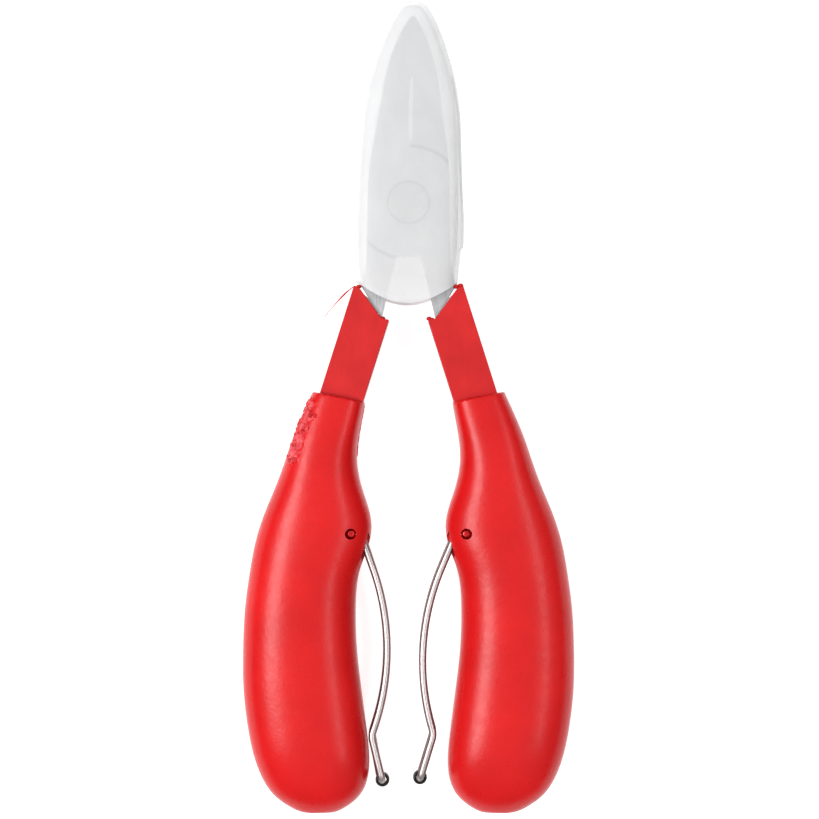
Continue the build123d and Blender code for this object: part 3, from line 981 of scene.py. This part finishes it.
def make_cap(material):
    """Ring by ring from the closed tip to a bowed rim, then given its wall."""
    cage = cage_factor(CAP_POINTS)
    rings = []
    for place, square, full in CAP_STATIONS:
        _, high_x, _, high_z = slice_of("blade_cap", pivot.y + place * MM)
        rings.append((place, square, high_x * full * cage, (high_z - pivot.z) * cage))
    place, square, half_width, half_height = rings[0]
    bpy.ops.mesh.primitive_circle_add(
        vertices=CAP_POINTS, radius=1, location=(0, pivot.y + place * MM, pivot.z),
        rotation=(pi / 2, 0, 0),
    )
    bpy.context.active_object.scale = (half_width, half_height, 1)
    piece = start_piece("cap_shell")
    open_up(piece)

    def shape_ring(at, width, height, now, before):
        for step in range(1, CAP_POINTS // 4):
            angle = step * 2 * pi / CAP_POINTS
            factor = squareness_factor(now, angle) / squareness_factor(before, angle)
            pick(piece, "verts", lambda v: abs(v.co.y - at) < NEAR and abs(
                atan2(abs(v.co.z - pivot.z) / height, abs(v.co.x) / width) - angle) < 0.04)
            bpy.ops.transform.resize(
                value=(factor, 1, factor), center_override=(0, at, pivot.z),
            )

    at = pivot.y + place * MM
    shape_ring(at, half_width, half_height, square, 2.0)
    for place, now, new_width, new_height in rings[1:]:
        pick_ring(piece, at)
        after = pivot.y + place * MM
        draw_out((0, after - at, 0))
        bpy.ops.transform.resize(
            value=(new_width / half_width, 1, new_height / half_height),
            center_override=(0, after, pivot.z),
        )
        if now != square:
            shape_ring(after, new_width, new_height, now, square)
        at, half_width, half_height, square = after, new_width, new_height, now
    # rim: one more ring, bowed down in the middle
    pick_ring(piece, at)
    rim = pivot.y + CAP_RIM * MM
    draw_out((0, rim - at, 0))
    bpy.ops.transform.resize(value=(CAP_RIM_NARROW, 1, 1), center_override=(0, rim, pivot.z))
    shell = bmesh.from_edit_mesh(piece.data)
    widths = sorted({round(abs(v.co.x), 6) for v in shell.verts if abs(v.co.y - rim) < NEAR})
    for width in widths:
        rise = (CAP_RIM_SIDE - CAP_RIM) * MM * (width / (CAP_HALF_WIDTH * MM)) ** 2
        pick(piece, "verts", lambda v: abs(v.co.y - rim) < RIM_NEAR
             and abs(abs(v.co.x) - width) < CAD_WELD)
        bpy.ops.transform.translate(value=(0, rise, 0))
    # tip: closed with a grid of faces
    pick_ring(piece, pivot.y + CAP_STATIONS[0][0] * MM)
    bpy.ops.mesh.fill_grid(span=CAP_POINTS // 4)
    bpy.ops.mesh.select_all(action="SELECT")
    bpy.ops.mesh.normals_make_consistent(inside=False)
    close_up()
    subdivide_smooth(piece, 2)
    finish_modifier(piece, "SOLIDIFY", thickness=CAP_WALL * MM, offset=-1, use_even_offset=True)
    soften_edges(piece, 0.16, 3, 50)
    join(piece, cap_flash())
    lean_over(piece, lambda v: True)
    tidy_mesh(piece, 45)
    fit_out(piece, "cap", "blade_cap", material)


# ---- The table, the light and the camera ----

FLOOR_SIZE = 4
FLOOR_DROP = 0.05                 # millimetres below the nipper
FLOOR_GLOW = 0.80                 # the floor is a lit table, so that no shadow darkens it
# place, what it faces, width, length, power
SOFT_BOXES = {
    "left_box": ((-0.34, 0.0, 0.46), (-0.02, 0.0, 0), 0.34, 0.20, 2.75),
    "right_box": ((0.36, -0.02, 0.50), (0.02, -0.02, 0), 0.40, 0.07, 0.7),
}
# height from the nadir to the zenith, grey there
SKY = ((0.0, 0.10), (1.0, 0.85), (0.15, 0.10), (0.45, 0.40), (0.8, 0.75), (0.93, 0.85))
CAMERA_HEIGHT = 0.45
CAMERA_X, CAMERA_Y = 0.2, -0.6    # millimetres off the middle
VIEW_WIDTH = 166.0113             # millimetres across the view at the pivot's height
SENSOR = 36
NEAREST, FARTHEST = 0.01, 10


def make_floor():
    """A pale table, lit from inside."""
    bpy.ops.mesh.primitive_plane_add(size=FLOOR_SIZE, location=(0, 0, -FLOOR_DROP * MM))
    floor = start_piece("floor")
    f = Finish("floor_paint")
    shade = f.ramp(f.grain(6, 2), 0.3, 0.7, 0.50, 0.52)
    floor.data.materials.append(f.wear(
        Base_Color=shade, Roughness=0.9, Specular_IOR_Level=0.0,
        Emission_Color=(1, 1, 1, 1), Emission_Strength=FLOOR_GLOW,
    ))


def soft_box(name, place, aim, width, length, power):
    """One rectangular studio light, turned to what it faces."""
    light = bpy.data.lights.new(name, "AREA")
    light.shape = "RECTANGLE"
    light.size, light.size_y = width, length
    light.energy = power
    lamp = bpy.data.objects.new(name, light)
    lamp.location = place
    lamp.rotation_mode = "QUATERNION"
    lamp.rotation_quaternion = (Vector(aim) - Vector(place)).to_track_quat("-Z", "Y")
    bpy.context.scene.collection.objects.link(lamp)


def make_sky():
    """A grey studio, darker towards the ground."""
    world = bpy.data.worlds.new("studio")
    bpy.context.scene.world = world
    world.use_nodes = True
    tree = world.node_tree
    coords = tree.nodes.new("ShaderNodeTexCoord")
    split = tree.nodes.new("ShaderNodeSeparateXYZ")
    tree.links.new(coords.outputs["Generated"], split.inputs[0])
    ramp = tree.nodes.new("ShaderNodeValToRGB")
    stops = ramp.color_ramp.elements
    for number, (place, shade) in enumerate(SKY):
        # a new ramp has its two end stops already
        stop = stops[number] if number < 2 else stops.new(place)
        stop.color = (shade, shade, shade, 1)
    tree.links.new(split.outputs["Z"], ramp.inputs["Fac"])
    background = tree.nodes["Background"]
    tree.links.new(ramp.outputs["Color"], background.inputs["Color"])
    background.inputs["Strength"].default_value = 1.0


def make_camera():
    """Straight above the nipper."""
    data = bpy.data.cameras.new("camera")
    data.sensor_width = SENSOR
    data.lens = SENSOR * CAMERA_HEIGHT / (VIEW_WIDTH * MM)
    camera = bpy.data.objects.new("camera", data)
    camera.location = (CAMERA_X * MM, CAMERA_Y * MM, pivot.z + CAMERA_HEIGHT)
    data.clip_start, data.clip_end = NEAREST, FARTHEST
    bpy.context.scene.collection.objects.link(camera)
    bpy.context.scene.camera = camera


# ---- The whole nipper ----

red = grip_red()
core_red = neck_red()
steel = ground_steel()
wire = drawn_wire()
# painted reflection of the red hole round the pins: the steel is tinted dark red
pin_metal = pin_steel("pin_metal", (0.42, 0.010, 0.012), (0.75, 0.05, 0.055), 0.2, 0.3)
roller_metal = pin_steel("roller_metal", (0.012, 0.011, 0.011), (0.05, 0.047, 0.045), 0.3, 0.42)

for side in SIDES:
    make_grip(side, red)
    make_sleeve(side, core_red)
    make_spring(side, wire)
    make_machined(
        "spring_pin_" + side, "pin_" + side + "_cut", GRIP_BODY[side],
        pin_metal, width=0.62, steps=5,
    )
    make_machined(
        "spring_roller_" + side, "roller_" + side + "_turned", side + "_roller",
        roller_metal, width=0.25, steps=3,
    )
make_jaw("front", 1, -1.0, steel)
make_jaw("back", -1, 1.0, steel)
make_machined(
    "pivot_rivet", "rivet_turned", "back_half", rivet_steel(), width=0.15, steps=2,
)
make_cap(milky_cap())

make_floor()
make_sky()
for name, settings in SOFT_BOXES.items():
    soft_box(name, *settings)
make_camera()
bpy.context.scene.view_settings.view_transform = "Standard"
